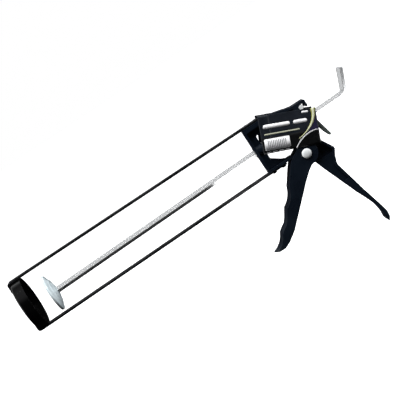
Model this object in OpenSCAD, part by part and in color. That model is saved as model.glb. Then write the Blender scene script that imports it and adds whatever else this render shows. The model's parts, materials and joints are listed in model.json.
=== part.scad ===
// Skeleton caulking gun: a cast frame with a fixed grip, two straps, a front cup and a hexagon push rod.
// X runs from the nozzle end (negative) to the thumb end, Z is up and Y is across.
// The origin is on the rod's line, at the front face of the frame, where a cartridge rests.

/* [Cradle] */
// Distance from the frame's front face to the front face of the cup
cradle_length = 276.5; // [200:1:300]
// Outer radius of the front cup
cup_r = 27; // [26.5:0.5:28]
// Inner radius of the front cup, the seat for the cartridge
cup_bore_r = 25; // [24.5:0.25:25.5]
// Depth of the front cup
cup_depth = 11.5; // [8:0.5:15]
// Thickness of the cup's front wall
cup_floor = 1.5; // [1:0.25:2.5]
// Width of the slot in the cup's front wall that lets the nozzle in from the side
nozzle_slot = 19; // [16:0.5:20]
// Width of the two straps
strap_w = 12; // [10:1:14]
// Thickness of the two straps
strap_t = 2; // [1.5:0.25:2.5]

/* [Frame casting] */
// Full width of the frame's flanges and grip
frame_w = 16; // [14:0.5:16]
// Thickness of the web between the flanges
web_t = 6; // [5:0.5:7]
// Thickness of the web inside the grip
grip_web_t = 11; // [8:0.5:12]
// Thickness of the flange around the outline
flange_t = 2.4; // [2:0.2:2.6]
// Radius of the boss that the rod slides in
boss_r = 6; // [5.5:0.25:6.5]
// Radius of the holes that guide the rod
guide_r = 4.5; // [4.4:0.1:4.7]

/* [Push rod] */
// Width of the hexagon rod across its flats
rod_af = 6.4; // [6:0.1:6.6]
// Droop of the long rod in its loose guides, in degrees
rod_droop = 0.9; // [0:0.1:1]
// Angle that the hook end turns up by
hook_angle = 67; // [50:1:80]
// Length of the hook's straight leg
hook_leg = 22; // [15:1:26]
// Radius of the plunger disc
plunger_r = 19.7; // [18:0.1:20]

/* [Trigger] */
// Full width of the trigger
trigger_w = 22; // [21.6:0.1:22.2]
// Radius of the trigger rivet's shank
rivet_r = 3; // [2.5:0.1:3.2]
// Distance from the trigger's pivot to the drive pin
nose_r = 17; // [16.5:0.1:17.5]
// Half of the trigger's travel, in degrees
half_stroke = 16; // [14:1:16]

/* [Card] */
// Thickness of the retail card
card_t = 0.4; // [0.3:0.1:0.5]

/* [Hidden] */
$fn = 64;

black_paint = "#17181a";
black_steel = "#232427";
zinc = "#c9cdd0";
plate_grey = "#6f7a76";
card_grey = "#3b3a42";
eps = 0.01;

// Frame heights: the straps lie on its top and bottom faces
frame_top = 26;
frame_bottom = -24.5;
strap_end = 20.5;
cup_front = -cradle_length;
cup_rim = cup_front + cup_depth;

// Trigger pivot, and the drive pin at rest half a stroke behind the upright
pivot_x = 41.9;
pivot_z = -27.6;
nose_x = pivot_x + nose_r * sin(half_stroke);
nose_z = pivot_z + nose_r * cos(half_stroke);
drive_pin_r = 2.5;
cheek_in = frame_w / 2 + 0.3;
cheek_out = trigger_w / 2;

// Drive plate, just in front of the drive pin
plate_t = 3;
plate_back = nose_x - drive_pin_r - 0.05;
plate_front = plate_back - plate_t;

// Front and rear walls of the frame, and the brake lever behind the rear one
front_wall = 9.5;
rear_wall_x0 = 54.5;
rear_wall_x1 = 59.5;
wall_t = rear_wall_x1 - rear_wall_x0;
brake_x = 62.3;
brake_z = 13.4;
brake_lean = 13.2;
brake_t = 2.2;
brake_eye_r = 2.5;
brake_length = 40.5;
brake_w = 14;
ear_gap = 10.8;
ear_r = 2.8;
brake_pin_r = 1.5;
running_gap = 0.05;

// Rod, measured along its own line from the point about which it droops
droop_x = 35;
rod_front = -240 - droop_x;
rod_bend = 103 - droop_x;
bend_r = 6;
spigot_r = 2.5;
spigot_length = 6;

// Points of an arc about (x, z), from angle a to angle b in n steps
function arc(x, z, r, a, b, n) = [
    for (i = [0:n])
        let (turn = a + (b - a) * i / n)
        [x + r * cos(turn), z + r * sin(turn)]
];

// Outline moved inwards by d: each corner goes to where its two shifted sides meet (outline runs clockwise)
function side(p, q) = (q - p) / norm(q - p);
function right_of(v) = [v[1], -v[0]];
function inset(pts, d) = [
    for (i = [0:len(pts) - 1])
        let (
            p = pts[(i + len(pts) - 1) % len(pts)],
            q = pts[i],
            r = pts[(i + 1) % len(pts)],
            m = right_of(side(p, q)),
            n = right_of(side(q, r))
        )
        q + d * (m + n) / (1 + m * n)
];

// Frame outline, clockwise from the top front corner: top bar, rear hook, rear edge, grip, underside
grip_rear = [[61.5, -25], [68.6, -37.5], [68.6, -39.5], [65.2, -45.5], [62.7, -52], [62.5, -55.5],
             [63.5, -59], [70.8, -90], [74.9, -105], [77.5, -115]];
grip_tip = [[79, -122], [78.4, -128], [75.8, -132.2], [74.3, -128.8], [74.8, -121]];
grip_front = [[73.1, -111], [69.4, -102], [64.9, -92], [49.7, -53], [45.7, -41.5]];
underside = [[42, -38.5], [36.5, -35], [34, -29.5], [30.5, -25.5], [27, frame_bottom], [0, frame_bottom]];
top_bar = [[0, frame_top], [21, frame_top], [35, 24], [45, 21.5], [50, 20], [55, 19], [rear_wall_x1, 18.9]];
frame_outline = concat(top_bar, [[rear_wall_x1, -20]], grip_rear, grip_tip, grip_front, underside);

// The sides are hollowed between the flanges, down to the height where the grip becomes a solid tail
tail_z = -75;
function at_height(p, q, z) = p + (q - p) * (z - p[1]) / (q[1] - p[1]);
hollowed = concat(
    top_bar,
    [[rear_wall_x1, -20]],
    [for (i = [0:6]) grip_rear[i]],
    [at_height(grip_rear[6], grip_rear[7], tail_z), at_height(grip_front[2], grip_front[3], tail_z)],
    [grip_front[3], grip_front[4]],
    underside
);
hook_under = 16.2;
hook_outline = [[rear_wall_x0, 19], [68.2, 18.8], [69, 18], [69, 11.8], [68.5, 11.3], [67.2, 11.3],
                [66.7, 11.8], [66.7, hook_under], [rear_wall_x0, hook_under]];
window = concat(
    [[front_wall, 13], [front_wall + 1, 14], [52, 14], [rear_wall_x0, 12], [rear_wall_x0, -15], [50, -19.5]],
    [[36, -19.5], [28.5, -22.1], [23.5, -21.7], [18.5, -19.3], [front_wall, -12.9]]
);

// Bosses around the rod's guide holes stand a little proud of their walls
boss_proud = 0.6;
pivot_boss_r = 8.5;
wall_height = 36.2;
flange_front_t = 4.4;
flange_front_length = 22;

// A flat shape in the X-Z plane, given its thickness across Y
module slab(pts, w) {
    rotate([90, 0, 0]) linear_extrude(height = w, center = true) polygon(pts);
}

// The same shape twice, as two cheeks between the distances a and b from the middle
module cheeks(a, b) {
    for (s = [-1, 1]) translate([0, s * (a + b) / 2, 0]) rotate([90, 0, 0])
        linear_extrude(height = b - a, center = true) children();
}

// A round bar across Y, centred on the middle plane
module cross_bar(x, z, r, w) {
    translate([x, 0, z]) rotate([90, 0, 0]) cylinder(r = r, h = w, center = true);
}

// A round bar along X, from x to x + h
module long_bar(x, r, h) {
    translate([x, 0, 0]) rotate([0, 90, 0]) cylinder(r = r, h = h);
}

// Places what lies on the rod's own line, which droops a little towards the nozzle
module on_rod() {
    translate([droop_x, 0, 0]) rotate([0, -rod_droop, 0]) children();
}

// Bosses of the front wall and of the rear wall, around the rod
module rod_bosses() {
    long_bar(-boss_proud, boss_r, front_wall + boss_proud);
    long_bar(rear_wall_x0 - 2 * boss_proud, boss_r, wall_t + 2 * boss_proud);
}

module body_frame() {
    color(black_paint) difference() {
        union() {
            slab(frame_outline, web_t);
            difference() {
                slab(frame_outline, frame_w);
                slab(inset(hollowed, flange_t), frame_w + 1);
            }
            // the grip's web is thicker than the rest
            intersection() {
                slab(frame_outline, grip_web_t);
                translate([grip_front[4][0], -frame_w, tail_z - 1])
                    cube([2 * frame_w, 2 * frame_w, grip_front[4][1] - tail_z + 1]);
            }
            // thicker upper flange, rear wall, hook and the ears for the brake pin
            translate([0, -frame_w / 2, frame_top - flange_front_t])
                cube([flange_front_length, frame_w, flange_front_t - 1]);
            translate([rear_wall_x0, -frame_w / 2, hook_under - wall_height])
                cube([wall_t, frame_w, wall_height]);
            slab(hook_outline, frame_w);
            cheeks(ear_gap / 2, frame_w / 2) translate([brake_x, brake_z]) circle(r = ear_r);
            cheeks(ear_gap / 2, frame_w / 2) translate([rear_wall_x1 - 1, brake_z - ear_r])
                square([brake_x - rear_wall_x1 + 1, 2 * ear_r]);
            // bosses for the rod and for the trigger rivet
            rod_bosses();
            cross_bar(pivot_x, pivot_z, pivot_boss_r, frame_w);
        }
        difference() {
            slab(window, frame_w + 1);
            rod_bosses();
        }
        long_bar(-2, guide_r, rear_wall_x1 + 4);
        cross_bar(pivot_x, pivot_z, rivet_r + running_gap, frame_w + 2);
        cross_bar(brake_x, brake_z, brake_pin_r, frame_w + 2);
        strap_rivet_holes();
    }
}

// Rivets of the straps, and the height of their heads on each strap
rivet_xs = [6, 17];
strap_rivet_r = 2;
strap_rivet_depth = 5;
strap_rivet_head_r = 3;
upper_head_h = 0.9;
lower_head_h = 2.2;

module strap_rivet_holes() {
    for (x = rivet_xs, z = [frame_top - strap_rivet_depth, frame_bottom - 1]) translate([x, 0, z])
        cylinder(r = strap_rivet_r, h = strap_rivet_depth + 1);
}

// Strap seen from the side, with the frame at height z: bent round in front to a tab on the cup's face
bend_outer = 3;
tab_end = 13.5;
function strap_side(z) = concat(
    [[cup_front - strap_t, tab_end]],
    arc(cup_front - strap_t + bend_outer, cup_r + strap_t - bend_outer, bend_outer, 180, 90, 8),
    [[cup_rim + 3, cup_r + strap_t], [-3, z + strap_t], [strap_end, z + strap_t], [strap_end, z], [-3, z],
     [cup_rim + 3, cup_r], [cup_front, cup_r], [cup_front, tab_end]]
);

module strap(z) {
    color(black_steel) difference() {
        slab(strap_side(z), strap_w);
        for (x = rivet_xs) translate([x, 0, z - 1]) cylinder(r = strap_rivet_r, h = strap_t + 2);
        translate([cup_front - strap_t - 1, 0, cup_rivet_z]) rotate([0, 90, 0])
            cylinder(r = cup_rivet_r, h = strap_t + 2);
    }
}

module upper_strap() {
    strap(frame_top);
}

module lower_strap() {
    mirror([0, 0, 1]) strap(-frame_bottom);
}

// Dome-headed rivet standing on z = 0, shank downwards
module dome_rivet(r, depth, head_r, head_h) {
    dome_r = (head_r * head_r + head_h * head_h) / (2 * head_h);
    translate([0, 0, -depth]) cylinder(r = r, h = depth + eps);
    intersection() {
        translate([0, 0, head_h - dome_r]) sphere(r = dome_r);
        cylinder(r = head_r, h = head_h);
    }
}

module strap_rivets(z, head_h) {
    color(black_steel) for (x = rivet_xs) translate([x, 0, z + strap_t])
        dome_rivet(strap_rivet_r, strap_t + strap_rivet_depth, strap_rivet_head_r, head_h);
}

module upper_strap_rivets() {
    strap_rivets(frame_top, upper_head_h);
}

module lower_strap_rivets() {
    mirror([0, 0, 1]) strap_rivets(-frame_bottom, lower_head_h);
}

// Cup and the rivets that hold it between the straps' tabs
cup_rivet_z = 19.5;
cup_rivet_r = 2;
cup_rivet_head_r = 3;
cup_rivet_head_h = 1.3;

module front_cup() {
    edge = 2;
    color(black_paint) difference() {
        // rounded front corner, thin wall, open towards the frame
        translate([cup_front, 0, 0]) rotate([0, 90, 0]) rotate_extrude($fn = 96) polygon(concat(
            [[0, 0]],
            arc(cup_r - edge, edge, edge, -90, 0, 8),
            [[cup_r, cup_depth], [cup_bore_r, cup_depth], [cup_bore_r, cup_floor], [0, cup_floor]]
        ));
        // nozzle hole at the centre of the front wall and the slot that leads to it from one side
        translate([cup_front - 1, 0, 0]) rotate([0, 90, 0]) cylinder(r = nozzle_slot / 2, h = cup_floor + 2);
        translate([cup_front - 1, 0, -nozzle_slot / 2]) cube([cup_floor + 1, cup_r + 1, nozzle_slot]);
        for (s = [-1, 1]) translate([cup_front - 1, 0, s * cup_rivet_z]) rotate([0, 90, 0])
            cylinder(r = cup_rivet_r, h = cup_floor + 2);
    }
}

module cup_rivets() {
    color(black_steel) for (s = [-1, 1]) translate([cup_front - strap_t, 0, s * cup_rivet_z])
        rotate([0, -90, 0]) dome_rivet(cup_rivet_r, strap_t + cup_floor, cup_rivet_head_r, cup_rivet_head_h);
}

// Trigger seen from the side, clockwise from the top of the finger face: three finger bumps, tip, back, lug
finger_face = [[24.7, -26.1], [20.7, -30.8], [13.2, -41], [8.7, -47.2], [6.2, -52.7], [2.7, -57.8],
               [-0.8, -61.1], [-4.8, -63.6], [-7.6, -67.8], [-11.2, -73.5], [-14.2, -77.1], [-19.2, -80.1],
               [-22.5, -82.7], [-25, -87.2], [-29, -91.5], [-33.8, -94.2]];
trigger_back = [[-38.8, -95], [-34, -96.5], [-27, -96.1], [-20, -93], [-9.8, -85.8], [0.2, -76.2],
                [10.2, -66.6], [20.2, -57], [25.2, -52], [30.2, -47.7], [35.2, -43.4], [40, -40.2]];
lug_r = 12;
lug_end_r = 5.2;
lug = concat(arc(pivot_x, pivot_z, lug_r, -80, 20, 6), arc(nose_x, nose_z, lug_end_r, 10, 170, 8));
trigger_side = concat([[35, -19.8], [30, -22.5]], finger_face, trigger_back, lug);

// The hollow between the cheeks, behind the finger wall: open at the back and around the frame
finger_wall = 3;
under_gap = 0.4;
hollow = concat(
    [[flange_front_length, 0], [flange_front_length, frame_bottom - under_gap]],
    [[finger_face[0][0], frame_bottom - under_gap]],
    [for (i = [0:12]) finger_face[i] + [finger_wall * 0.85, -finger_wall * 0.55]],
    [[-20, -90.5], [-8, -95], [60, -60], [60, 0]]
);

// The tip seen from above is half an ellipse
tip_start = -26;
tip_length = 13;
tip_plan = concat(
    [[nose_x + lug_r, cheek_out]],
    [for (a = [90:10:270]) [tip_start + tip_length * cos(a), cheek_out * sin(a)]],
    [[nose_x + lug_r, -cheek_out]]
);

module trigger() {
    color(black_paint) difference() {
        intersection() {
            slab(trigger_side, trigger_w);
            translate([0, 0, -4 * cup_r]) linear_extrude(height = 4 * cup_r) polygon(tip_plan);
        }
        slab(hollow, 2 * cheek_in);
        cross_bar(pivot_x, pivot_z, rivet_r + running_gap, trigger_w + 2);
        cross_bar(nose_x, nose_z, drive_pin_r, trigger_w + 2);
    }
}

// Rivet along Y: domed head on the near side, flat clenched end on the far side
rivet_head_r = 5;
rivet_head_h = 2.4;
clench_r = 4;
clench_t = 1.2;
washer_r = 5.5;
washer_t = 1;

module trigger_rivet() {
    color(zinc) translate([pivot_x, -cheek_out, pivot_z]) rotate([90, 0, 0]) {
        dome_rivet(rivet_r, trigger_w + washer_t + 1, rivet_head_r, rivet_head_h);
        translate([0, 0, -trigger_w - washer_t - clench_t]) cylinder(r = clench_r, h = clench_t);
    }
}

module pivot_washer() {
    color(zinc) translate([pivot_x, cheek_out, pivot_z]) rotate([-90, 0, 0]) difference() {
        cylinder(r = washer_r, h = washer_t);
        translate([0, 0, -1]) cylinder(r = rivet_r, h = washer_t + 2);
    }
}

module drive_pin() {
    color(zinc) cross_bar(nose_x, nose_z, drive_pin_r, trigger_w);
}

module drive_plate() {
    half_w = 7.5;
    rod_hole_r = 4.2;
    top = 13;
    foot = nose_z - 3.2;
    color(plate_grey) difference() {
        translate([plate_front, -half_w, foot]) cube([plate_t, 2 * half_w, top - foot]);
        long_bar(plate_front - 1, rod_hole_r, plate_t + 2);
    }
}

// A coil along X as turns of wire, each turn a ring: this shape only fills the spring's space
module coil(x0, x1, r, wire_r, turns) {
    step = (x1 - x0 - 2 * wire_r) / (turns - 1);
    for (i = [0:turns - 1]) translate([x0 + wire_r + i * step, 0, 0]) rotate([0, 90, 0])
        rotate_extrude($fn = 48) translate([r, 0]) circle(r = wire_r, $fn = 16);
}

module drive_spring() {
    coil_r = 5.1;
    wire_r = 0.6;
    turns = 9;
    color(zinc) coil(front_wall, plate_front, coil_r, wire_r, turns);
}

// The hexagon is carried along the rod's line: straight, round the bend, then up the hook's leg
bend_steps = 10;
corner_r = rod_af / sqrt(3);
bend_line = arc(rod_bend, bend_r, bend_r, -90, -90 + hook_angle, bend_steps);
hook_tip = bend_line[bend_steps] + hook_leg * [cos(hook_angle), sin(hook_angle)];
rod_line = concat([[rod_front, 0]], bend_line, [hook_tip]);
rod_turn = concat([0], [for (i = [0:bend_steps]) hook_angle * i / bend_steps], [hook_angle]);
rod_points = [
    for (k = [0:len(rod_line) - 1], i = [0:5])
        let (across = corner_r * cos(60 * i), up = corner_r * sin(60 * i))
        [rod_line[k][0] - up * sin(rod_turn[k]), across, rod_line[k][1] + up * cos(rod_turn[k])]
];
rod_sides = [
    for (k = [0:len(rod_line) - 2], i = [0:5])
        let (j = (i + 1) % 6)
        [6 * k + i, 6 * k + 6 + i, 6 * k + 6 + j, 6 * k + j]
];
rod_last = 6 * (len(rod_line) - 1);
rod_ends = [[0, 1, 2, 3, 4, 5], [for (i = [5:-1:0]) rod_last + i]];

module push_rod() {
    color(zinc) on_rod() {
        polyhedron(points = rod_points, faces = concat(rod_sides, rod_ends));
        long_bar(rod_front - spigot_length, spigot_r, spigot_length + 1);
    }
}

// Dished disc on the rod's spigot, hollow towards the nozzle, with a washer and a nut behind it
disc_t = 1;
disc_depth = 5.2;
disc_lip = 2;
disc_washer_r = 5;
disc_washer_t = 0.9;
nut_r = 4.6;
nut_t = 4;

module plunger_disc() {
    color(zinc) on_rod() translate([rod_front, 0, 0]) rotate([0, -90, 0]) rotate_extrude($fn = 96) polygon([
        [spigot_r + running_gap, 0], [6, 0], [17.5, disc_depth - 1.4], [plunger_r - 0.4, disc_depth],
        [plunger_r, disc_depth + 0.4], [plunger_r, disc_depth + disc_lip],
        [plunger_r - disc_t, disc_depth + disc_lip],
        [plunger_r - disc_t, disc_depth + 0.9], [17, disc_depth - 0.3], [5.8, disc_t],
        [spigot_r + running_gap, disc_t]
    ]);
}

module plunger_washer() {
    color(zinc) on_rod() difference() {
        long_bar(rod_front - disc_t - disc_washer_t - running_gap, disc_washer_r, disc_washer_t);
        long_bar(rod_front - disc_t - 2, spigot_r, 4);
    }
}

module plunger_nut() {
    color(zinc) on_rod() difference() {
        translate([rod_front - disc_t - disc_washer_t - running_gap - nut_t, 0, 0]) rotate([0, 90, 0])
            cylinder(r = nut_r, h = nut_t, $fn = 6);
        long_bar(rod_front - 2 * nut_t, spigot_r, 2 * nut_t);
    }
}

// Lever seen from the side, in its own frame: the blade's flanges bend forward below the rod
flange_side = [[brake_eye_r - 1, -19], [-0.2, -22.5], [-1.1, -28], [-0.7, -35], [0.4, -brake_length],
               [brake_eye_r, -brake_length], [brake_eye_r, -19]];

module lever_blade() {
    neck = 5;
    foot_r = brake_w / 2;
    translate([brake_eye_r - brake_t, 0, 0]) rotate([0, 90, 0]) linear_extrude(height = brake_t) {
        translate([neck, -foot_r]) square([brake_length - neck - 3, brake_w]);
        translate([brake_length - 3, 1 - foot_r]) square([3, brake_w - 2]);
    }
    // narrow neck between the ears
    translate([brake_eye_r - brake_t, 0.2 - ear_gap / 2, -neck]) cube([brake_t, ear_gap - 0.4, neck]);
}

module brake_lever() {
    bore = brake_pin_r + running_gap;
    flange_w = 1.8;
    rod_hole_r = 4.4;
    rod_hole_z = -13.6;
    color(plate_grey) translate([brake_x, 0, brake_z]) rotate([0, -brake_lean, 0]) difference() {
        union() {
            cross_bar(0, 0, brake_eye_r, ear_gap - 0.4);
            lever_blade();
            cheeks(brake_w / 2 - flange_w, brake_w / 2 - 0.1) polygon(flange_side);
        }
        cross_bar(0, 0, bore, ear_gap + 2);
        translate([-10, 0, rod_hole_z]) rotate([0, 90, 0]) cylinder(r = rod_hole_r, h = 20);
    }
}

module brake_pin() {
    head_r = 2.4;
    head_t = 0.8;
    color(zinc) {
        cross_bar(brake_x, brake_z, brake_pin_r, frame_w + 1);
        translate([brake_x, -frame_w / 2, brake_z]) rotate([90, 0, 0]) cylinder(r = head_r, h = head_t);
    }
}

module brake_spring() {
    length = 4.6;
    coil_r = 5.2;
    wire_r = 0.4;
    turns = 4;
    color(zinc) coil(rear_wall_x1, rear_wall_x1 + length, coil_r, wire_r, turns);
}

// Card folded over the top bar: two panels joined by a fold that stops where the frame rises through it
card_corner = [[20.5, 30.5], [73.7, 6.3], [59.4, -27.4], [5.6, -4.9]];
card_gap = cheek_out + 0.4;
fold_end = 30;

module card_sleeve() {
    slope = (card_corner[1][1] - card_corner[0][1]) / (card_corner[1][0] - card_corner[0][0]);
    fold_z = card_corner[0][1] + slope * (fold_end - card_corner[0][0]);
    color(card_grey) {
        cheeks(card_gap, card_gap + card_t) polygon(card_corner);
        slab([card_corner[0], [fold_end, fold_z], [fold_end, fold_z - card_t], card_corner[0] - [0, card_t]],
             2 * card_gap + 2 * card_t);
    }
}

body_frame();
upper_strap();
lower_strap();
upper_strap_rivets();
lower_strap_rivets();
front_cup();
cup_rivets();
trigger();
trigger_rivet();
pivot_washer();
drive_pin();
drive_plate();
drive_spring();
push_rod();
plunger_disc();
plunger_washer();
plunger_nut();
brake_lever();
brake_pin();
brake_spring();
card_sleeve();
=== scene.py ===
# %% [markdown]
# # A skeleton caulking gun
#
# This notebook dresses a finished metal frame: a cast body with a fixed grip, two flat straps, a cup for
# the nozzle end and a hexagon rod with a dished plunger. The frame already has its true sizes, so every
# new piece takes its place from it. Lengths are in metres, +X runs towards the thumb end and +Z is up.

# %% Load the frame
import json
import math
import bmesh
import bpy
import numpy as np
from mathutils import Matrix, Vector


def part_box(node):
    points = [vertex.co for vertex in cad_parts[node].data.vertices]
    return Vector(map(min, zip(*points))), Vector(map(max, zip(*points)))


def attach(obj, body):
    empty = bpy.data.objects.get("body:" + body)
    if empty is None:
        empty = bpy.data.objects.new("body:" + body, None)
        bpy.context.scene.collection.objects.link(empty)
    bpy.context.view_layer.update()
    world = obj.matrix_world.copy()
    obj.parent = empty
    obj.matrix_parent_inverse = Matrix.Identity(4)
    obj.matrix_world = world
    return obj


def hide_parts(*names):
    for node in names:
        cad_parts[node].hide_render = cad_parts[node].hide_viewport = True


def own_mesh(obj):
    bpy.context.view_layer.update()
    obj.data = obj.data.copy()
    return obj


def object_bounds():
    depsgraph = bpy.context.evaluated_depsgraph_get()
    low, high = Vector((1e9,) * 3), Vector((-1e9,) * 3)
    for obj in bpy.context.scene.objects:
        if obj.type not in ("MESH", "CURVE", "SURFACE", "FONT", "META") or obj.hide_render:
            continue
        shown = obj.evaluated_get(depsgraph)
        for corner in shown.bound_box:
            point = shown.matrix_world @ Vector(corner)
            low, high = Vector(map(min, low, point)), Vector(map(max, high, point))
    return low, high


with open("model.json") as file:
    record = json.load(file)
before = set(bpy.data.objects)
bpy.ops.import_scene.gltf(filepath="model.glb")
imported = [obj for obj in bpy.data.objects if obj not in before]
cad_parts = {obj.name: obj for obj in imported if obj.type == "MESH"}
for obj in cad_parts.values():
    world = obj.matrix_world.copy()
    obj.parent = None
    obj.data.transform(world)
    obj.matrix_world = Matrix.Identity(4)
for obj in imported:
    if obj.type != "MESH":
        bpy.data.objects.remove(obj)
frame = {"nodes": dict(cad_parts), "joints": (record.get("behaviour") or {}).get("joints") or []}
cad_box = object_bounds()
MM = 0.001
print("frame box, mm:", [[round(c / MM, 1) for c in corner] for corner in cad_box])

# %% [markdown]
# ## The camera
#
# The gun is looked at square to its length and from a little above. The camera is far away with a long
# lens, so the two straps stay almost parallel, and it is rolled so that the gun climbs to the right.

# %% Camera
VIEW_DISTANCE = 1.2
VIEW_WIDTH = 0.4
VIEW_TILT = math.radians(8.0)
VIEW_ROLL = math.radians(33.7)
AIM = Vector((-0.0720, 0.0, -0.0087))
SENSOR = 36.0

look = Vector((0, math.cos(VIEW_TILT), -math.sin(VIEW_TILT)))
level_up = Vector((0, math.sin(VIEW_TILT), math.cos(VIEW_TILT)))
level_right = Vector((1, 0, 0))
right = math.cos(VIEW_ROLL) * level_right - math.sin(VIEW_ROLL) * level_up
up = math.sin(VIEW_ROLL) * level_right + math.cos(VIEW_ROLL) * level_up

camera_data = bpy.data.cameras.new("camera")
camera_data.sensor_width = SENSOR
camera_data.lens = SENSOR * VIEW_DISTANCE / VIEW_WIDTH
camera_data.clip_end = 50
camera = bpy.data.objects.new("camera", camera_data)
turn = Matrix((right, up, -look)).transposed().to_4x4()
camera.matrix_world = Matrix.Translation(AIM - VIEW_DISTANCE * look) @ turn
bpy.context.scene.collection.objects.link(camera)
bpy.context.scene.camera = camera
print("lens, mm:", round(camera_data.lens, 1))

# %% [markdown]
# ## Light
#
# Black paint and bright zinc both show mostly what they mirror. So the room is nearly black all round, with
# a pale band high behind the gun for the upper edges, a dim patch high in front for the rod and the cup,
# and a pale stretch at each end for the hook. Two lamps light the prints and the dull metals, but leave no
# glints on the paint. A pale card below each end of the frame lifts the underside of the rod.

# %% Node helpers


def add(tree, kind, inputs=None, **settings):
    """One node: kind is its type, inputs maps socket names or numbers to plain values."""
    node = tree.nodes.new(kind)
    for key, value in settings.items():
        setattr(node, key, value)
    for key, value in (inputs or {}).items():
        node.inputs[key].default_value = value
    return node


def join(tree, source, target):
    """One link from an output socket to an input socket."""
    tree.links.new(source, target)


def rise(tree, source, low, high, top=1.0):
    """A smooth rise from 0 to top while the source goes from low to high."""
    node = add(tree, "ShaderNodeMapRange", {"From Min": low, "From Max": high, "To Max": top},
               interpolation_type="SMOOTHSTEP")
    join(tree, source, node.inputs["Value"])
    return node.outputs[0]


def combine(tree, first, second, operation):
    """Two values joined by one operation, such as a sum or a product."""
    node = add(tree, "ShaderNodeMath", operation=operation)
    join(tree, first, node.inputs[0])
    join(tree, second, node.inputs[1])
    return node.outputs[0]


# %% Sky
SKY_BASE = 0.006
# Each of these is one rise: where it starts and where it is full, as parts of a unit direction, and for some
# how bright it is.
BAND_FOOT = (0.3, 0.6, 0.9)
BAND_TOP = (0.96, 0.72)
BAND_BEHIND = (0.1, 0.4)
PATCH_FOOT = (0.35, 0.75, 0.3)
PATCH_BEFORE = (0.5, -0.3)
END_REACH = (0.6, 0.85, 0.9)
END_FOOT = (-0.45, -0.2)


def make_sky():
    """White to the camera. To the rest it is nearly black, with a band behind between two heights, a patch
    high in front, and both ends pale where a direction runs mostly along the gun. Each of the three is the
    product of the rises that bound it, and the light is their sum over a dim base."""
    world = bpy.data.worlds.new("studio")
    bpy.context.scene.world = world
    world.use_nodes = True
    sky = world.node_tree
    sky.nodes.clear()
    where = add(sky, "ShaderNodeTexCoord")
    split = add(sky, "ShaderNodeSeparateXYZ")
    join(sky, where.outputs["Generated"], split.inputs[0])
    away, height = split.outputs["Y"], split.outputs["Z"]
    ends = add(sky, "ShaderNodeMath", operation="ABSOLUTE")
    join(sky, split.outputs["X"], ends.inputs[0])
    band = combine(sky, rise(sky, height, *BAND_FOOT), rise(sky, height, *BAND_TOP), "MULTIPLY")
    band = combine(sky, band, rise(sky, away, *BAND_BEHIND), "MULTIPLY")
    patch = combine(sky, rise(sky, height, *PATCH_FOOT), rise(sky, away, *PATCH_BEFORE), "MULTIPLY")
    sides = combine(sky, rise(sky, ends.outputs[0], *END_REACH), rise(sky, height, *END_FOOT), "MULTIPLY")
    total = add(sky, "ShaderNodeMath", {1: SKY_BASE}, operation="ADD")
    join(sky, combine(sky, combine(sky, band, patch, "ADD"), sides, "ADD"), total.inputs[0])
    seen = add(sky, "ShaderNodeBackground", {"Color": (1, 1, 1, 1), "Strength": 1.0})
    lit = add(sky, "ShaderNodeBackground", {"Color": (0.97, 0.985, 1, 1)})
    mix = add(sky, "ShaderNodeMixShader")
    path = add(sky, "ShaderNodeLightPath")
    out = add(sky, "ShaderNodeOutputWorld")
    join(sky, total.outputs[0], lit.inputs["Strength"])
    join(sky, path.outputs["Is Camera Ray"], mix.inputs[0])
    join(sky, lit.outputs[0], mix.inputs[1])
    join(sky, seen.outputs[0], mix.inputs[2])
    join(sky, mix.outputs[0], out.inputs[0])


make_sky()
print("world:", bpy.context.scene.world.name)

# %% Lamps


def soft_panel(name, place, aim, size, power):
    """A rectangular lamp at place, turned to face aim. Its size is in metres and its power in watts. It
    leaves no mirror image of itself."""
    lamp = bpy.data.lights.new(name, "AREA")
    lamp.shape = "RECTANGLE"
    lamp.size, lamp.size_y = size
    lamp.energy = power
    holder = bpy.data.objects.new(name, lamp)
    holder.location = place
    holder.rotation_euler = (Vector(aim) - Vector(place)).to_track_quat("-Z", "Y").to_euler()
    holder.visible_glossy = False
    bpy.context.scene.collection.objects.link(holder)


soft_panel("front_top", (-0.15, -0.52, 1.16), (-0.05, 0, 0), (1.2, 0.6), 31)
soft_panel("thumb_end", (1.1, -0.3, 0.9), (-0.1, 0, 0), (0.8, 0.8), 6)
print("lamps: front_top and thumb_end")

# %% Floor and the pale cards


def level_sheet(name, along, across, height):
    """A flat level rectangle, as one face, between two places along the gun and two across it."""
    (start, end), (near, far) = along, across
    mesh = bpy.data.meshes.new(name)
    mesh.from_pydata([(start, near, height), (end, near, height), (end, far, height), (start, far, height)],
                     [], [(0, 1, 2, 3)])
    thing = bpy.data.objects.new(name, mesh)
    bpy.context.scene.collection.objects.link(thing)
    return thing


def paper(name, grey, glow):
    """A plain stage paper that also glows a little, so that lamps need not light it."""
    material = bpy.data.materials.new(name)
    material.use_nodes = True
    shader = material.node_tree.nodes["Principled BSDF"]
    shader.inputs["Base Color"].default_value = (grey, grey, grey, 1)
    shader.inputs["Roughness"].default_value = 0.9
    shader.inputs["Emission Color"].default_value = (grey, grey, grey, 1)
    shader.inputs["Emission Strength"].default_value = glow
    return material


FLOOR_GAP = 0.5 * MM
FLOOR_SPAN = (-9, 9)
floor_z = cad_box[0][2] - FLOOR_GAP
floor = level_sheet("floor", FLOOR_SPAN, FLOOR_SPAN, floor_z)
floor.data.materials.append(paper("floor_paper", 0.92, glow=0.85))
floor.visible_glossy = False
floor.visible_diffuse = False

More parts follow.
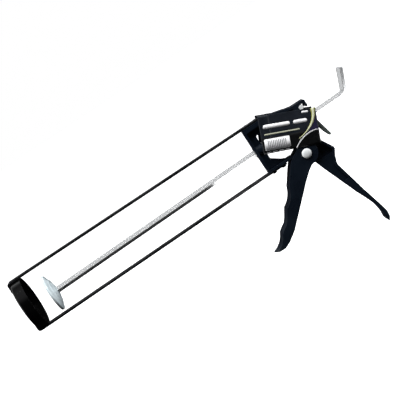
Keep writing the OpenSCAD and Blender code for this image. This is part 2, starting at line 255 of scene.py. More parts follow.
LIFT_HEIGHT = -32 * MM
LIFT_ACROSS = (-30 * MM, 5 * MM)
lift_white = paper("lift_card_white", 1.0, glow=0.6)
for name, along in [("lift_card_front", (-50 * MM, 0)), ("lift_card_rear", (70 * MM, 200 * MM))]:
    card = level_sheet(name, along, LIFT_ACROSS, LIFT_HEIGHT)
    card.data.materials.append(lift_white)
    card.visible_camera = False
    card.visible_diffuse = False
    card.visible_shadow = False
print("floor at, mm:", round(floor_z / MM, 1))

# %% [markdown]
# ## Shapes as grids of points
#
# A swept bar, a spun dish, a wound wire and a bent sheet are all the same thing: a rule that gives a point
# for each pair of numbers. Modelling them by hand would mean placing thousands of points. Here numpy works
# out the whole grid at once and one helper turns any grid into a mesh. Doubled points along seams and poles
# are then merged, so every solid shell is closed and its faces point outwards. An open sheet gets its
# thickness from a modifier instead.

# %% From a grid to a piece
WELD = 0.002 * MM


def close_shell(mesh, crease_angle):
    """Merges doubled points, turns the faces outwards and keeps edges sharper than the angle crisp."""
    work = bmesh.new()
    work.from_mesh(mesh)
    bmesh.ops.remove_doubles(work, verts=work.verts, dist=WELD)
    bmesh.ops.dissolve_degenerate(work, edges=work.edges, dist=WELD / 2)
    bmesh.ops.recalc_face_normals(work, faces=work.faces)
    work.to_mesh(mesh)
    work.free()
    mesh.shade_smooth()
    mesh.set_sharp_from_angle(angle=math.radians(crease_angle))


def grid_piece(name, points, around=True, caps=True, crease_angle=35):
    """Rows of points become bands of four-sided faces. around joins the last column to the first,
    and caps closes each end row with a fan to its own middle."""
    rows, columns = points.shape[:2]
    row, column = np.meshgrid(np.arange(rows - 1), np.arange(columns - (not around)), indexing="ij")
    beside = (column + 1) % columns
    corners = [row * columns + column, row * columns + beside, (row + 1) * columns + beside,
               (row + 1) * columns + column]
    faces = np.stack(corners, -1).reshape(-1, 4).tolist()
    places = points.reshape(-1, 3)
    if caps:
        ring = np.arange(columns)
        after = (ring + 1) % columns
        last = (rows - 1) * columns
        places = np.concatenate([places, points[:1].mean(1), points[-1:].mean(1)])
        faces += np.stack([np.full(columns, rows * columns), after, ring], -1).tolist()
        faces += np.stack([np.full(columns, rows * columns + 1), last + ring, last + after], -1).tolist()
    mesh = bpy.data.meshes.new(name)
    mesh.from_pydata(places.tolist(), [], faces)
    close_shell(mesh, crease_angle)
    piece = bpy.data.objects.new(name, mesh)
    bpy.context.scene.collection.objects.link(piece)
    return piece


def fit_out(piece, body, slot, material, *nodes):
    """Gives a piece its finish, the body it rides on and the CAD nodes it stands for. The slot argument is
    not used.
    """
    piece.data.materials.clear()
    piece.data.materials.append(material)
    if nodes:
        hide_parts(*nodes)
    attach(piece, body)
    print(f"{piece.name}: {len(piece.data.polygons)} faces, rides on {body}")


# %% Spun shapes


def spin(profile, centre, axis, steps=96):
    """Spins (along, radius) pairs about an axis through centre: each point is the centre, plus its distance
    along the axis, plus its radius times a unit vector that turns once round the axis."""
    axis = np.array(axis, float) / np.linalg.norm(axis)
    side = np.cross(axis, [0, 1, 0] if abs(axis[1]) < 0.9 else [1, 0, 0])
    side /= np.linalg.norm(side)
    angle = np.linspace(0, 2 * np.pi, steps, endpoint=False)[:, None]
    outward = np.cos(angle) * side + np.sin(angle) * np.cross(axis, side)
    along, radius = np.asarray(profile, float).T
    return np.array(centre) + along[:, None, None] * axis + radius[:, None, None] * outward


def quarter(start, end, bulge="outward", steps=10):
    """A quarter of an ellipse from start to end, in (along, radius) pairs. Outward leaves start along the
    radius, and inward leaves it along the axis."""
    angle = np.linspace(0, np.pi / 2, steps)
    first, second = 1 - np.cos(angle), np.sin(angle)
    if bulge == "inward":
        first, second = second, first
    start, end = np.array(start, float), np.array(end, float)
    return start + np.stack([first, second], -1) * (end - start)


# %% [markdown]
# ## Edges of the cast and pressed pieces
#
# The frame gives each piece its true shape but with knife-sharp edges, and real castings and pressings never
# have those. Sharp edges also catch no light. A copy of each CAD piece has its triangles merged and its flat
# faces made whole, and a Bevel modifier then rounds the outer edges and fills the inner corners alike, as
# a mould does.

# %% Rounded copies of the CAD pieces
EDGE_ANGLE = math.radians(28)
FLAT_ANGLE = math.radians(0.3)


def rounded_copy(node, name, width):
    """A copy of a CAD node with a round, width millimetres wide, on each edge that turns by more than
    EDGE_ANGLE. Faces that turn by less than FLAT_ANGLE are one flat face."""
    mesh = frame["nodes"][node].data.copy()
    mesh.name = name
    work = bmesh.new()
    work.from_mesh(mesh)
    bmesh.ops.remove_doubles(work, verts=work.verts, dist=WELD)
    bmesh.ops.dissolve_limit(work, angle_limit=FLAT_ANGLE, verts=work.verts, edges=work.edges)
    bmesh.ops.recalc_face_normals(work, faces=work.faces)
    work.to_mesh(mesh)
    work.free()
    mesh.shade_smooth()
    mesh.set_sharp_from_angle(angle=EDGE_ANGLE)
    piece = bpy.data.objects.new(name, mesh)
    bpy.context.scene.collection.objects.link(piece)
    bevel = piece.modifiers.new("rounded_edges", "BEVEL")
    bevel.width = width * MM
    bevel.segments = 3
    bevel.limit_method = "ANGLE"
    bevel.angle_limit = EDGE_ANGLE
    bevel.harden_normals = True
    bevel.miter_outer = "MITER_ARC"
    return piece


def dress(node, name, width, body, slot, material):
    """Puts a rounded copy in the place of one CAD node."""
    fit_out(rounded_copy(node, name, width), body, slot, material, node)


# %% [markdown]
# ## Finishes: the effects they share
#
# Three effects turn up on many pieces: the fine grain of paint and castings, the fine lines that drawing
# and polishing leave on metal, and soft smudges that change how much it shines. The grain is one node group,
# and the lines and smudges, which always come together, are another. Both are built once, on Object
# coordinates in metres, and every finish sets its own grain size and strength.

# %% Empty effect


def effect_group(name, sockets, outputs):
    """An empty node group with float inputs (name: default) and named outputs."""
    group = bpy.data.node_groups.new(name, "ShaderNodeTree")
    for socket, value in sockets.items():
        entry = group.interface.new_socket(socket, in_out="INPUT", socket_type="NodeSocketFloat")
        entry.default_value = value
    for socket in outputs:
        group.interface.new_socket(socket, in_out="OUTPUT", socket_type="NodeSocketFloat")
    return group, add(group, "NodeGroupInput"), add(group, "NodeGroupOutput")


# %% Fine grain


def make_grain():
    """Height is fine noise, as in sprayed paint or cast skin. Tone is broad noise, for uneven colour."""
    group, into, out = effect_group("fine_grain", {"Grain per metre": 900, "Patches per metre": 45},
                                    ["Height", "Tone"])
    place = add(group, "ShaderNodeTexCoord")
    fine = add(group, "ShaderNodeTexNoise", {"Detail": 4.0, "Roughness": 0.6})
    broad = add(group, "ShaderNodeTexNoise", {"Detail": 3.0, "Roughness": 0.55})
    join(group, place.outputs["Object"], fine.inputs["Vector"])
    join(group, place.outputs["Object"], broad.inputs["Vector"])
    join(group, into.outputs["Grain per metre"], fine.inputs["Scale"])
    join(group, into.outputs["Patches per metre"], broad.inputs["Scale"])
    join(group, fine.outputs["Fac"], out.inputs["Height"])
    join(group, broad.outputs["Fac"], out.inputs["Tone"])
    return group


GRAIN = make_grain()
print("group:", GRAIN.name)

# %% Drawn lines and smudges


def make_drawn_lines():
    """Lines is noise stretched along X, as a die leaves on a drawn bar. Smudge is soft and uneven, from
    handling."""
    group, into, out = effect_group("drawn_lines", {"Lines per metre": 1600, "Smudges per metre": 60},
                                    ["Lines", "Smudge"])
    place = add(group, "ShaderNodeTexCoord")
    stretch = add(group, "ShaderNodeMapping")
    stretch.inputs["Scale"].default_value = (0.02, 1, 1)
    lines = add(group, "ShaderNodeTexNoise", {"Detail": 3.0, "Roughness": 0.7})
    smudge = add(group, "ShaderNodeTexNoise", {"Detail": 2.0, "Roughness": 0.5, "Distortion": 0.6})
    join(group, place.outputs["Object"], stretch.inputs["Vector"])
    join(group, stretch.outputs[0], lines.inputs["Vector"])
    join(group, place.outputs["Object"], smudge.inputs["Vector"])
    join(group, into.outputs["Lines per metre"], lines.inputs["Scale"])
    join(group, into.outputs["Smudges per metre"], smudge.inputs["Scale"])
    join(group, lines.outputs["Fac"], out.inputs["Lines"])
    join(group, smudge.outputs["Fac"], out.inputs["Smudge"])
    return group


DRAWN = make_drawn_lines()
print("group:", DRAWN.name)

# %% One finish from an effect
EFFECTS = {"grain": (GRAIN, "Height", "Tone"), "drawn": (DRAWN, "Lines", "Smudge")}
NOISE_LOW, NOISE_HIGH = 0.3, 0.7


def finish(name, effect, sizes, dark, light, rough, bump, metallic=0.0):
    """A finish whose colour runs from dark to light and whose roughness runs between two values with the
    effect's broad output, and whose bump, in millimetres deep, follows its fine one. Noise lies mostly
    between NOISE_LOW and NOISE_HIGH, so those are its two ends."""
    material = bpy.data.materials.new(name)
    material.use_nodes = True
    tree = material.node_tree
    shader = tree.nodes["Principled BSDF"]
    shader.inputs["Metallic"].default_value = metallic
    group, fine, broad = EFFECTS[effect]
    source = add(tree, "ShaderNodeGroup", node_tree=group)
    source.inputs[0].default_value, source.inputs[1].default_value = sizes
    colours = add(tree, "ShaderNodeValToRGB")
    low_end, high_end = colours.color_ramp.elements
    low_end.position, low_end.color = NOISE_LOW, (*dark, 1)
    high_end.position, high_end.color = NOISE_HIGH, (*light, 1)
    shine = add(tree, "ShaderNodeMapRange", {"From Min": NOISE_LOW, "From Max": NOISE_HIGH,
                                             "To Min": rough[0], "To Max": rough[1]})
    relief = add(tree, "ShaderNodeBump", {"Strength": 1.0, "Distance": bump * MM})
    join(tree, source.outputs[broad], colours.inputs[0])
    join(tree, colours.outputs[0], shader.inputs["Base Color"])
    join(tree, source.outputs[broad], shine.inputs["Value"])
    join(tree, shine.outputs[0], shader.inputs["Roughness"])
    join(tree, source.outputs[fine], relief.inputs["Height"])
    join(tree, relief.outputs[0], shader.inputs["Normal"])
    return material


# %% [markdown]
# ## The paints and metals
#
# The castings carry a thin satin black paint over a slightly grainy skin. The cup is pressed and dipped in
# a glossier black. The rod is drawn steel with bright zinc on it, the plunger is a duller, bluish zinc, and
# the lever is greenish grey. Pure black and pure white are avoided: even the blackest paint gives back a
# little light.

# %% Paints
casting_black = finish("casting_black", "grain", (1100, 40), (0.0038, 0.006, 0.0105),
                       (0.0068, 0.0105, 0.017), (0.24, 0.38), 0.02)
cup_black = finish("cup_black", "grain", (500, 30), (0.0006, 0.0006, 0.0006),
                   (0.002, 0.002, 0.0022), (0.16, 0.26), 0.008)
strap_black = finish("strap_black", "grain", (1300, 50), (0.004, 0.0045, 0.005),
                     (0.008, 0.0085, 0.0095), (0.24, 0.4), 0.012)
lever_grey = finish("lever_grey", "grain", (900, 90), (0.036, 0.047, 0.043),
                    (0.072, 0.086, 0.081), (0.42, 0.6), 0.04)
print("paints:", casting_black.name, cup_black.name, strap_black.name, lever_grey.name)

# %% Metals
rod_zinc = finish("rod_zinc", "drawn", (2600, 45), (0.86, 0.87, 0.88),
                  (0.95, 0.96, 0.96), (0.2, 0.3), 0.002, metallic=0.75)
disc_zinc = finish("disc_zinc", "drawn", (1500, 70), (0.62, 0.72, 0.76),
                   (0.80, 0.90, 0.94), (0.3, 0.46), 0.008, metallic=0.3)
plated_steel = finish("plated_steel", "drawn", (1500, 120), (0.55, 0.56, 0.57),
                      (0.72, 0.73, 0.73), (0.25, 0.42), 0.008, metallic=1.0)
bright_steel = finish("bright_steel", "drawn", (1200, 160), (0.80, 0.84, 0.86),
                      (0.93, 0.95, 0.95), (0.3, 0.45), 0.006, metallic=0.25)
plate_steel = finish("plate_steel", "grain", (900, 120), (0.12, 0.12, 0.13),
                     (0.24, 0.24, 0.25), (0.35, 0.55), 0.02, metallic=0.9)
spring_steel = finish("spring_steel", "drawn", (1800, 150), (0.4, 0.4, 0.41),
                      (0.6, 0.6, 0.61), (0.22, 0.38), 0.005, metallic=1.0)
print("metals:", rod_zinc.name, disc_zinc.name, plated_steel.name, bright_steel.name, plate_steel.name,
      spring_steel.name)

# %% [markdown]
# ## The castings and pressings
#
# The body, with its grip, and the trigger are castings with generous rounds. The cup and the straps are
# pressed or bent from thinner stock, so their edges are tighter.

# %% Castings and pressings
CAST_ROUND = 0.8
PRESSED_ROUND = 0.4
BAR_ROUND = 0.35
HEAD_ROUND = 0.15
dress("body_frame", "frame_casting", CAST_ROUND, "frame", "black_casting", casting_black)
dress("trigger", "trigger_casting", CAST_ROUND, "trigger", "black_casting", casting_black)
dress("front_cup", "cup_shell", PRESSED_ROUND, "frame", "gloss_black", cup_black)
for place in ("upper", "lower"):
    dress(place + "_strap", place + "_strap_bar", BAR_ROUND, "frame", "black_strap", strap_black)
    dress(place + "_strap_rivets", place + "_strap_rivet_heads", HEAD_ROUND, "frame", "black_strap",
          strap_black)
dress("cup_rivets", "cup_rivet_heads", HEAD_ROUND, "frame", "black_strap", strap_black)

# %% Small moving pieces and hardware
TURNED_ROUND = 0.3
dress("brake_lever", "lever_pressing", PRESSED_ROUND, "brake_lever", "grey_lever", lever_grey)
dress("drive_plate", "grip_plate", TURNED_ROUND, "drive_plate", "dark_steel", plate_steel)
dress("plunger_nut", "plunger_locknut", TURNED_ROUND, "rod", "zinc_plate", plated_steel)
dress("plunger_washer", "plunger_flat_washer", HEAD_ROUND, "rod", "zinc_plate", plated_steel)
dress("pivot_washer", "pivot_flat_washer", HEAD_ROUND, "frame", "zinc_plate", plated_steel)
dress("drive_pin", "drive_pin_turned", TURNED_ROUND, "trigger", "zinc_plate", plated_steel)
dress("brake_pin", "brake_pin_turned", 0.25, "frame", "bright_rivet", bright_steel)

# %% [markdown]
# ## The push rod
#
# The rod is one bar of drawn hexagon steel, bent up into a hook that the hand pulls. A prism would have
# dead sharp corners, so the section here is six short arcs joined by flats, and it is carried along the
# rod's line: straight, round the bend, then up the hook. The first and last sections are smaller than the
# rest, which gives each end a chamfer.

# %% Section of the rod


def joint_named(name):
    """The frame's record of one joint."""
    return next(joint for joint in frame["joints"] if joint["name"] == name)


# The rod slides along its own line, which dips a little and passes through DROOP_POINT.
DROOP_POINT = np.array([35.0, 0, 0]) * MM
rod_forward = np.array(joint_named("rod_slide")["axis"])
rod_across = np.array([0.0, 1.0, 0.0])
rod_up = np.cross(rod_forward, rod_across)
ROD_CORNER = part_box("push_rod")[1].y
CORNER_ROUND = 0.4 * MM


def rounded_hexagon(corner, small, steps=5, beside=0.25 * MM):
    """Six arcs of radius small, each about a point on the way to a corner, where it just touches the two
    flats beside it. The first corner is on the across axis. Each arc has one more point a little way along
    the flat on either side of it, so that the flats catch the light as flats."""
    heading = np.radians(60 * np.arange(6))[:, None]
    turn = heading + np.radians(np.concatenate([[-30], np.linspace(-30, 30, steps), [30]]))[None]
    slip = np.concatenate([[-beside], np.zeros(steps), [beside]])[None]
    reach = corner - small / math.cos(math.radians(30))
    across = reach * np.cos(heading) + small * np.cos(turn) - slip * np.sin(turn)
    up = reach * np.sin(heading) + small * np.sin(turn) + slip * np.cos(turn)
    return across.ravel(), up.ravel()


print("rod across corners, mm:", round(2 * ROD_CORNER / MM, 2))

# %% Line of the rod
ROD_FRONT = -275 * MM
ROD_BEND = 68 * MM
BEND_RADIUS = 6 * MM
HOOK_ANGLE = math.radians(67)
HOOK_LEG = 22 * MM
CHAMFER = 0.7 * MM
CHAMFER_SIZE = 0.82


def rod_stations():
    """Places (along, height), turn and size of each section: the bend is an arc above the straight, and the
    hook's leg leaves it at the hook's angle."""
    turn = np.linspace(0, HOOK_ANGLE, 20)
    bend = np.stack([ROD_BEND + BEND_RADIUS * np.sin(turn), BEND_RADIUS * (1 - np.cos(turn))], -1)
    leg = np.array([math.cos(HOOK_ANGLE), math.sin(HOOK_ANGLE)])
    straight = np.stack([np.array([ROD_FRONT, ROD_FRONT + CHAMFER, ROD_FRONT / 2, 0]), np.zeros(4)], -1)
    hook = bend[-1] + np.array([[HOOK_LEG - CHAMFER], [HOOK_LEG]]) * leg
    line = np.concatenate([straight, bend, hook])
    turns = np.concatenate([np.zeros(4), turn, [HOOK_ANGLE, HOOK_ANGLE]])
    size = np.ones(len(line))
    size[[0, -1]] = CHAMFER_SIZE
    return line, turns, size


def sweep_rod():
    """Each section point goes across, and up turned by the station's turn, from the station's place."""
    line, turns, size = rod_stations()
    across, up = rounded_hexagon(ROD_CORNER, CORNER_ROUND)
    along = line[:, :1] - size[:, None] * up * np.sin(turns)[:, None]
    height = line[:, 1:] + size[:, None] * up * np.cos(turns)[:, None]
    sideways = size[:, None] * across + 0 * along
    return (DROOP_POINT + along[..., None] * rod_forward + sideways[..., None] * rod_across
            + height[..., None] * rod_up)


fit_out(grid_piece("rod_bar", sweep_rod(), crease_angle=20), "rod", "zinc_rod", rod_zinc, "push_rod")

# %% Threaded end of the rod
THREAD_R = 2.45 * MM
THREAD_STEP = 0.8 * MM
THREAD_DEPTH = 0.36 * MM
THREAD_TURNS = 7
THREAD_INSIDE = 0.5 * MM
END_CHAMFER = 0.35 * MM
END_R = THREAD_R - 0.6 * MM


def rod_place(along):
    """A point on the rod's own line."""
    return DROOP_POINT + along * rod_forward


def thread_profile():
    """A rounded ridge for each turn of thread: radius less a small cosine wave, then a chamfered end. It
    starts a little way inside the bar."""
    along = np.linspace(0, THREAD_STEP * THREAD_TURNS, THREAD_TURNS * 8 + 1)
    radius = THREAD_R - THREAD_DEPTH / 2 * (1 - np.cos(2 * np.pi * along / THREAD_STEP))
    start = [(-THREAD_INSIDE, 0), (-THREAD_INSIDE, THREAD_R)]
    end = [(along[-1] + END_CHAMFER, END_R), (along[-1] + END_CHAMFER, 0)]
    return np.concatenate([start, np.stack([along, radius], -1), end])


thread = spin(thread_profile(), rod_place(ROD_FRONT), -rod_forward, steps=48)
fit_out(grid_piece("rod_thread", thread, caps=False), "rod", "zinc_rod", rod_zinc)

# %% [markdown]
# ## The plunger
#
# The plunger is pressed from one disc: a flat middle under the nut, a cone, a pressed ring that stiffens it
# and a rim turned forwards. It is a spun shape, so one profile of its radius and depth says everything. The
# cone starts with a soft bend, and the ring is a small smooth bump on it.

# %% Plunger profile
DISC_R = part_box("plunger_disc")[1].y
DISC_T = 1.0 * MM
DISC_HOLE_R = 2.6 * MM
DISC_FLAT = 6 * MM
DISC_RISE = 5.6 * MM
BEND_SOFT = 1.2 * MM
RING_R = 13.0 * MM
RING_HEIGHT = 0.45 * MM
RING_WIDTH = 1.1 * MM
RIM_ROUND = 1.2 * MM
RIM_DEPTH = 1.4 * MM
LIP = 1.0 * MM
LIP_ROUND = 0.3 * MM


def disc_depth(radius):
    """Depth of the disc's back: nothing out to the flat's edge, then a slope that bends in softly, less
    a bump of one bell curve at the ring."""
    ramp = np.log1p(np.exp((radius - DISC_FLAT) / BEND_SOFT)) * BEND_SOFT
    slope = (DISC_RISE - 0.8 * MM) / (DISC_R - DISC_FLAT)
    return slope * ramp - RING_HEIGHT * np.exp(-((radius - RING_R) / RING_WIDTH) ** 2)


def plunger_profile():
    """Out along the back, round the rim, and home along the front, one thickness deeper."""
    radius = np.linspace(DISC_HOLE_R, DISC_R - RIM_ROUND, 40)
    back = np.stack([disc_depth(radius), radius], -1)
    rim_start = back[-1]
    rim = quarter(rim_start, (rim_start[0] + RIM_DEPTH, DISC_R))
    edge = rim[-1][0] + LIP
    lip = [(edge, DISC_R), (edge + LIP_ROUND, DISC_R - LIP_ROUND), (edge + LIP_ROUND, DISC_R - 0.8 * MM),
           (edge, DISC_R - DISC_T)]
    front_radius = np.linspace(DISC_R - DISC_T - LIP, DISC_HOLE_R, 40)
    front = np.stack([disc_depth(front_radius) + DISC_T, front_radius], -1)
    return np.concatenate([back, rim, lip, front, back[:1]])


plunger = spin(plunger_profile(), rod_place(ROD_FRONT), -rod_forward, steps=128)
fit_out(grid_piece("plunger_pressing", plunger, caps=False, crease_angle=50), "plunger", "zinc_disc",
        disc_zinc, "plunger_disc")

# %% [markdown]
# ## The trigger's rivet
#
# One big rivet carries the trigger. Its bright domed head is the first thing the eye finds on the side, so
# it gets a true dome with a small shoulder, and its far end is spread over the washer.

# %% Rivet
rivet_low, rivet_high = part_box("trigger_rivet")
HEAD_R = (rivet_high.x - rivet_low.x) / 2
SHANK_R = 3 * MM
SPREAD_R = 4 * MM
SPREAD_T = 1.2 * MM
SHOULDER = 0.5 * MM
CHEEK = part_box("trigger")[1].y
rivet_centre = np.array([(rivet_low.x + rivet_high.x) / 2, 0, (rivet_low.z + rivet_high.z) / 2])


def rivet_profile():
    """From the spread end to the dome, as distance towards the near side and radius."""
    far = -rivet_high.y
    near = -rivet_low.y
    foot = [(far, 0), (far, SPREAD_R - 0.4 * MM), (far + 0.3 * MM, SPREAD_R), (far + SPREAD_T, SPREAD_R)]
    shank = [(far + SPREAD_T, SHANK_R), (CHEEK, SHANK_R)]
    under_head = [(CHEEK, HEAD_R - 0.2 * MM), (CHEEK + 0.2 * MM, HEAD_R)]
    dome = quarter((CHEEK + SHOULDER, HEAD_R), (near, 0), bulge="inward", steps=24)
    return np.concatenate([foot, shank, under_head, dome])


rivet = spin(rivet_profile(), rivet_centre, (0, -1, 0), steps=72)
fit_out(grid_piece("trigger_rivet_turned", rivet, caps=False, crease_angle=45), "frame", "bright_rivet",
        bright_steel, "trigger_rivet")

# %% [markdown]
# ## The springs
#
# A spring is a round wire on a helix. Its ends are closed: the first and last turns rise by only a wire's
# thickness, so that they sit flat on the plates that they push against.

# %% Wound wire
POINTS_PER_TURN = 36
EASE = 19


def wound_wire(start, end, coil_r, wire_r, turns):
    """The wire's middle turns about X at an even rate. Its place along X climbs in three even stretches,
    softened by a moving average over EASE points, and round each middle point lies a circle of wire in
    the plane of X and the outward direction."""
    turned = np.linspace(0, turns, int(turns * POINTS_PER_TURN) + 1)
    inside = end - start
    along = np.interp(turned, [0, 1, turns - 1, turns],
                      [wire_r, 3 * wire_r, inside - 3 * wire_r, inside - wire_r]) + start
    along = np.convolve(np.pad(along, EASE // 2, mode="edge"), np.ones(EASE) / EASE, mode="valid")
    angle = 2 * np.pi * turned[:, None]
    around = np.linspace(0, 2 * np.pi, 12, endpoint=False)[None]
    radius = coil_r + wire_r * np.cos(around)
    return np.stack([along[:, None] + wire_r * np.sin(around), radius * np.cos(angle),
                     radius * np.sin(angle)], -1)


# %% Drive spring
DRIVE_WIRE_R = 0.6 * MM
drive_low, drive_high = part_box("drive_spring")
drive_wire = wound_wire(drive_low.x, drive_high.x, drive_high.y - DRIVE_WIRE_R, DRIVE_WIRE_R, turns=9)
drive_coil = grid_piece("drive_coil", drive_wire)
fit_out(drive_coil, "frame", "spring_wire", spring_steel, "drive_spring")
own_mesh(drive_coil)

# %% Brake spring
BRAKE_WIRE_R = 0.4 * MM
brake_low, brake_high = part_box("brake_spring")
brake_wire = wound_wire(brake_low.x, brake_high.x, brake_high.y - BRAKE_WIRE_R, BRAKE_WIRE_R, turns=3.5)
brake_coil = grid_piece("brake_coil", brake_wire)
fit_out(brake_coil, "frame", "spring_wire", spring_steel, "brake_spring")
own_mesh(brake_coil)

# %% [markdown]
# ## The retail card
#
# A folded card hangs on the top bar. It is a stiff sheet, so it is not draped: it is bent over the bar with
# two tight bends, and each side bows a little, as laminated card does. Every point of it comes from two
# lengths, one along its top edge and one down its side. The print is laid on as thin films that use the
# same rule, so that it follows the bow. It has plain bars where a real card has words.

# %% Card frame
CARD_T = 0.4 * MM
card_points = np.array([v.co for v in frame["nodes"]["card_sleeve"].data.vertices])
near_side = card_points[card_points[:, 1] < card_points[:, 1].min() + CARD_T / 2]
top_left = near_side[near_side[:, 2].argmax()]
top_right = near_side[near_side[:, 0].argmax()]
low_left = near_side[near_side[:, 0].argmin()]
low_right = near_side[near_side[:, 2].argmin()]
CARD_HALF_GAP = -near_side[0, 1]
CARD_LENGTH = np.linalg.norm(top_right - top_left)
CARD_DROP = np.linalg.norm(low_left - top_left)
CARD_BOW = 0.5 * MM
print("card, mm:", round(CARD_LENGTH / MM, 1), "by", round(CARD_DROP / MM, 1))


def card_at(along, down, lift=0.0):
    """A point of the near side, blended from its four corners by how far along and how far down it is,
    then pushed out by a bow that is a half sine wave down the side, and by lift."""
    u, v = along / CARD_LENGTH, down / CARD_DROP
    corners = [top_left, top_right, low_left, low_right]
    weights = [(1 - u) * (1 - v), u * (1 - v), (1 - u) * v, u * v]
    place = sum(w[..., None] * corner for w, corner in zip(weights, corners))
    place[..., 1] = -(CARD_HALF_GAP - CARD_T + CARD_BOW * np.sin(np.pi * np.clip(v, 0, 1)) + lift)
    return place


# %% Folded sheet
FOLD_LENGTH = 10.2 * MM
FOLD_ROUND = 2.2 * MM
SIDE_ROWS = 24


def fold_strip(columns=9, steps=9):
    """Up the near side, round a quarter turn, across the top, round again and down the far side. The
    middle of the sheet stops at crest below the top edge, so that its upper face stays under it."""
    along = np.linspace(0, FOLD_LENGTH, columns)
    down = np.linspace(CARD_DROP, FOLD_ROUND, SIDE_ROWS)
    near = card_at(*np.meshgrid(along, down))
    turn = np.linspace(0, np.pi / 2, steps)[1:]
    crest = 0.6 * CARD_T
    bend = card_at(*np.meshgrid(along, crest + (FOLD_ROUND - crest) * (1 - np.sin(turn))))
    bend[..., 1] = near[-1:, :, 1] + FOLD_ROUND * (1 - np.cos(turn))[:, None]
    half = np.concatenate([near, bend])
    other = half[::-1] * np.array([1, -1, 1])
    return np.concatenate([half, other])


def card_side(columns=40):
    """The rest of one side, beyond the fold, from its bottom edge to its free top edge."""
    along = np.linspace(FOLD_LENGTH, CARD_LENGTH, columns)
    to_fold = np.linspace(CARD_DROP, FOLD_ROUND, SIDE_ROWS)
    down = np.concatenate([to_fold, FOLD_ROUND * np.linspace(0.75, 0, 4)])
    return card_at(*np.meshgrid(along, down))


def film(name, points, thickness):
    """A thin closed film from an open grid, with equal thickness on both sides of it."""
    piece = grid_piece(name, points, around=False, caps=False, crease_angle=40)
    wall = piece.modifiers.new("thickness", "SOLIDIFY")
    wall.thickness = thickness
    wall.offset = 0
    return piece


# %% [markdown]
# ## Inks
#
# The card is printed in a dark slate that turns to near black in the middle, over a paper whose fibres still
# show as a fine grain, and a clear film on it gives a soft shine. Each ink is a finish of its own.

# %% Ink colours


def ink(name, patches, dark, light):
    """One ink: a paper grain, patches per metre for its unevenness, and its two colours."""
    return finish("ink_" + name, "grain", (2200, patches), dark, light, (0.34, 0.5), 0.012)


ink_slate = ink("slate", 55, (0.0072, 0.009, 0.0125), (0.0125, 0.0155, 0.0215))
ink_dark = ink("dark", 60, (0.002, 0.0022, 0.0026), (0.004, 0.0042, 0.0046))
ink_violet = ink("violet", 70, (0.0105, 0.0095, 0.027), (0.020, 0.017, 0.045))
ink_yellow = ink("yellow", 70, (0.17, 0.18, 0.03), (0.36, 0.37, 0.11))
ink_pale = ink("pale", 70, (0.60, 0.62, 0.42), (0.74, 0.76, 0.56))
ink_white = ink("white", 70, (0.74, 0.74, 0.75), (0.86, 0.86, 0.87))
ink_grey = ink("grey", 70, (0.16, 0.16, 0.17), (0.24, 0.24, 0.25))
ink_olive = ink("olive", 70, (0.32, 0.33, 0.24), (0.46, 0.47, 0.36))
print("inks:", sum(material.name.startswith("ink_") for material in bpy.data.materials))

# %% Sheet of card
sheet = film("card_fold", fold_strip(), CARD_T)
fit_out(sheet, "frame", "printed_card", ink_slate, "card_sleeve")
near_panel = card_side()
fit_out(film("card_near_side", near_panel, CARD_T), "frame", "printed_card", ink_slate)
fit_out(film("card_far_side", near_panel * np.array([1, -1, 1]), CARD_T), "frame", "printed_card", ink_slate)

# %% Rules for the print
FILM_T = 0.04 * MM
LAYER_STEP = 1.5 * FILM_T
PRINT_LIFT = CARD_T / 2 + 0.03 * MM
CURVE_STEPS = 40


def print_film(name, along, down, colour, layer=0):
    """A film of ink over the card where along and down, in millimetres, say. Each layer lies a little
    higher."""
    lift = PRINT_LIFT + layer * LAYER_STEP
    piece = film(name, card_at(np.asarray(along) * MM, np.asarray(down) * MM, lift), FILM_T)
    fit_out(piece, "frame", "printed_card", colour)


def bar(name, start, end, height, colour, layer=1, corner=0.0):
    """A straight bar from start to end, in (along, down). Its corners are quarter circles, with half the
    height for radius where no corner is given: near each end its half height follows them."""
    step = np.linspace(0, 1, CURVE_STEPS)
    length = math.dist(start, end)
    from_end = np.minimum(step, 1 - step) * length
    radius = corner or height / 2
    inset = np.clip(1 - from_end / radius, 0, 1)
    half = (height / 2 - radius) + radius * np.sqrt(np.clip(1 - inset ** 2, 0, 1))
    spread = np.linspace(-1, 1, 3)[:, None]
    direction = (np.array(end) - start) / length
    along = start[0] + step * length * direction[0] - spread * half * direction[1]
    down = start[1] + step * length * direction[1] + spread * half * direction[0]
    print_film(name, along, down, colour, layer)


def bezier(points):
    """A cubic curve through its first and last points, pulled by the two between."""
    t = np.linspace(0, 1, CURVE_STEPS)[:, None]
    a, b, c, d = np.array(points, float)
    return (1 - t) ** 3 * a + 3 * t * (1 - t) ** 2 * b + 3 * t ** 2 * (1 - t) * c + t ** 3 * d


def straight_line(start, end):
    """As many points as bezier gives, evenly along a straight line."""
    return np.linspace(start, end, CURVE_STEPS)


def ribbon(name, curve, half_width, colour, layer=1):
    """A band along a curve: each point steps off it to both sides by half the width, square to the curve."""
    run = np.gradient(curve, axis=0)
    run /= np.linalg.norm(run, axis=1)[:, None]
    side = np.stack([-run[:, 1], run[:, 0]], -1) * np.asarray(half_width)[:, None]
    spread = np.linspace(-1, 1, 5)[:, None, None]
    band = curve[None] + spread * side[None]
    print_film(name, band[..., 0], band[..., 1], colour, layer)


def between(name, first, second, colour, layer=0):
    """The area between two curves, ruled straight across from each point to its partner."""
    across = np.linspace(0, 1, 8)[:, None, None]
    area = (1 - across) * first[None] + across * second[None]
    print_film(name, area[..., 0], area[..., 1], colour, layer)


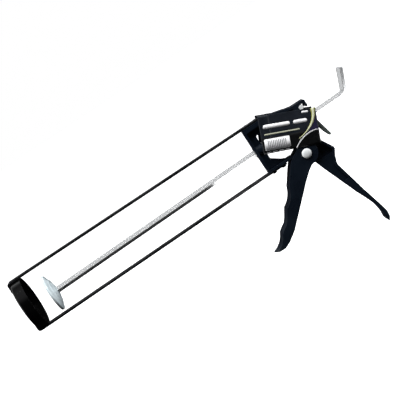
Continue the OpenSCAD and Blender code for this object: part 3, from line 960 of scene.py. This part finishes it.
# %% Print on the near side
EDGE = 0.3
ARC_TOP = 22.8
ARC_FOOT = 33.5
length, drop = CARD_LENGTH / MM - EDGE, CARD_DROP / MM - EDGE
sweep = bezier([(55.4, EDGE), (56.6, 11), (50.8, 21.6), (37.5, 29)])
edge_arc = bezier([(length, ARC_TOP), (50, 22.2), (40, 27.5), (ARC_FOOT, drop)])
right_edge = straight_line((length, EDGE), (length, ARC_TOP))
corner_end = bezier([(length, ARC_TOP), (51, 22.3), (43, 26), (37.5, 30)])
between("print_corner", sweep, np.concatenate([right_edge[:16], corner_end[:24]]), ink_violet)
middle_top = straight_line((EDGE, 22.5), (47, 22.5))
middle_foot = straight_line((EDGE, drop), (ARC_FOOT, drop))
between("print_middle", middle_top, middle_foot, ink_dark, layer=-0.4)
between("print_lower", edge_arc, straight_line((length, drop), (ARC_FOOT, drop)), ink_dark)

# The bands narrow along the sweep, and the white arc swells in its middle.
left = np.linspace(1, 0, CURVE_STEPS)
ribbon("print_crescent", sweep, 0.45 + 1.9 * left ** 1.2, ink_yellow)
ribbon("print_crescent_core", sweep, 0.25 + 1.05 * left ** 1.2, ink_pale, layer=2)
ribbon("print_arc", edge_arc, 0.1 + 0.45 * np.sin(np.pi * (0.25 + 0.6 * left)), ink_white)

# %% Plain bars and the sticker
TITLE_DOWN, TITLE_HEIGHT = 11.6, 4.2
bar("print_title_bar", (3.4, TITLE_DOWN), (31, TITLE_DOWN), TITLE_HEIGHT, ink_white)
bar("print_title_bar_short", (34, TITLE_DOWN), (48.3, TITLE_DOWN), TITLE_HEIGHT, ink_white)
bar("print_line", (3.2, 19.4), (40, 19.4), 1.6, ink_olive)
bar("print_corner_mark", (43.8, 2.9), (50.8, 2.9), 2.2, ink_white)
bar("print_sticker", (2.4, 29.7), (28.2, 29.7), 11.6, ink_white, corner=1.0)
for number in range(11):
    place = 6.3 + 1.75 * number
    bar(f"print_sticker_line_{number:02d}", (place, 25.6), (place, 33.8), 0.8, ink_grey, layer=2, corner=0.1)
for number in range(4):
    place = 3 + 6.4 * number
    bar(f"print_foot_mark_{number}", (place, 37.4), (place + 4.6, 37.4), 1.0, ink_grey)

# %% [markdown]
# ## Finish
#
# The colours are shown as they are, with no film curve.

# %% Colour view
bpy.context.scene.view_settings.view_transform = "Standard"
bpy.context.scene.view_settings.look = "None"
